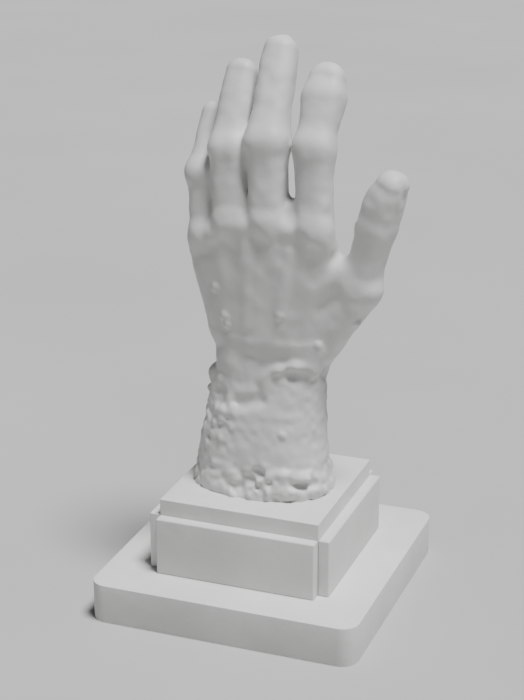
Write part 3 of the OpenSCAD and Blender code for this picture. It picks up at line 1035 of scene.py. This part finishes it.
def make_material(name, finish):
    material = bpy.data.materials.new(name)
    material.use_nodes = True
    tree = material.node_tree
    shader = tree.nodes["Principled BSDF"]
    shader.inputs["Metallic"].default_value = finish.metallic
    place = tree.nodes.new("ShaderNodeTexCoord").outputs["Object"]
    stretch = tree.nodes.new("ShaderNodeMapping")
    stretch.inputs["Scale"].default_value = (1, 1, finish.stretch)
    tree.links.new(place, stretch.inputs["Vector"])
    stretched = stretch.outputs["Vector"]

    ramp = tree.nodes.new("ShaderNodeValToRGB")
    for element, position, shade in zip(ramp.color_ramp.elements, SHADE_BAND, finish[:2]):
        element.position = position
        element.color = (*shade, 1)
    tree.links.new(noise_node(tree, stretched, finish.mottle, MOTTLE_DETAIL), ramp.inputs["Fac"])
    tree.links.new(ramp.outputs["Color"], shader.inputs["Base Color"])

    cloudy = noise_node(tree, stretched, finish.mottle * 3, ROUGH_DETAIL)
    rough = spread(tree, cloudy, *finish.rough)
    tree.links.new(rough, shader.inputs["Roughness"])

    pits = tree.nodes.new("ShaderNodeBump")
    pits.inputs["Strength"].default_value = finish.depth
    pits.inputs["Distance"].default_value = PIT_HEIGHT
    tree.links.new(noise_node(tree, stretched, finish.pit, BUMP_DETAIL), pits.inputs["Height"])
    waves = tree.nodes.new("ShaderNodeBump")
    waves.inputs["Strength"].default_value = finish.depth * 1.5
    waves.inputs["Distance"].default_value = WAVE_HEIGHT
    wavy = noise_node(tree, place, finish.mottle * 5, BUMP_DETAIL)
    tree.links.new(wavy, waves.inputs["Height"])
    tree.links.new(pits.outputs["Normal"], waves.inputs["Normal"])
    tree.links.new(waves.outputs["Normal"], shader.inputs["Normal"])
    return material


MATERIALS = {name: make_material(name, finish) for name, finish in FINISHES.items()}
NODE_SLOTS = {part["node"]: part["material_slot"] for part in frame["record"]["subparts"]}


def paint(item, slot_name):
    item.data.materials.clear()
    item.data.materials.append(MATERIALS[slot_name])


for node, item in frame["nodes"].items():
    paint(item, NODE_SLOTS[node])
for item in plinth:
    paint(item, "stand")
for item in glove:
    paint(item, "silicone")
paint(nail, "nail")


# Camera, light and floor

# The photograph's view: where it was taken from, how far round from the front and up, in degrees,
# and the lens
EYE, AZIMUTH, ELEVATION = (0.33666, -0.90455, 0.50760), 20.607, 20.411
LENS, SENSOR_WIDTH = 92.54, 36
# Name, kind, place, target, strength, and the sun's angle or the area's size
LIGHTS = [
    ("key", "SUN", (0.30, -0.08, 1.0), (0, 0, 0), 5.4, math.radians(18)),
    ("fill", "AREA", (-0.5, -1.3, 0.5), (0, 0, 0.15), 0.2, 1.0),
]
SKY, SKY_STRENGTH = (0.86, 0.87, 0.88, 1), 0.09
FLOOR_REACH = 6  # from the middle to each side, in metres
FLOOR = Finish((0.43, 0.43, 0.425), (0.46, 0.46, 0.455), 3, (0.75, 0.9), 0.0, 300, 0.05, 1)


def aim(item, target):
    item.rotation_mode = "QUATERNION"
    item.rotation_quaternion = (Vector(target) - item.location).to_track_quat("-Z", "Y")


def add_camera():
    camera = bpy.data.objects.new("camera", bpy.data.cameras.new("camera"))
    bpy.context.collection.objects.link(camera)
    camera.data.sensor_width = SENSOR_WIDTH
    camera.data.lens = LENS
    camera.location = EYE
    azimuth, elevation = math.radians(AZIMUTH), math.radians(ELEVATION)
    level = math.cos(elevation)
    ahead = (-math.sin(azimuth) * level, math.cos(azimuth) * level, -math.sin(elevation))
    aim(camera, camera.location + Vector(ahead))
    bpy.context.scene.camera = camera


def add_light(name, kind, location, target, energy, size):
    light = bpy.data.objects.new(name, bpy.data.lights.new(name, kind))
    bpy.context.collection.objects.link(light)
    light.data.energy = energy
    if kind == "SUN":
        light.data.angle = size
    else:
        light.data.size = size
    light.location = location
    aim(light, target)


def add_studio():
    world = bpy.data.worlds.new("studio")
    world.use_nodes = True
    backdrop = world.node_tree.nodes["Background"]
    backdrop.inputs["Color"].default_value = SKY
    backdrop.inputs["Strength"].default_value = SKY_STRENGTH
    bpy.context.scene.world = world
    for light in LIGHTS:
        add_light(*light)


def add_floor():
    mesh = bpy.data.meshes.new("floor")
    low, high = -FLOOR_REACH, FLOOR_REACH
    corners = [(low, low, 0), (high, low, 0), (high, high, 0), (low, high, 0)]
    mesh.from_pydata(corners, [], [(0, 1, 2, 3)])
    mesh.materials.append(make_material("floor", FLOOR))
    floor = bpy.data.objects.new("floor", mesh)
    bpy.context.collection.objects.link(floor)


add_camera()
add_studio()
add_floor()
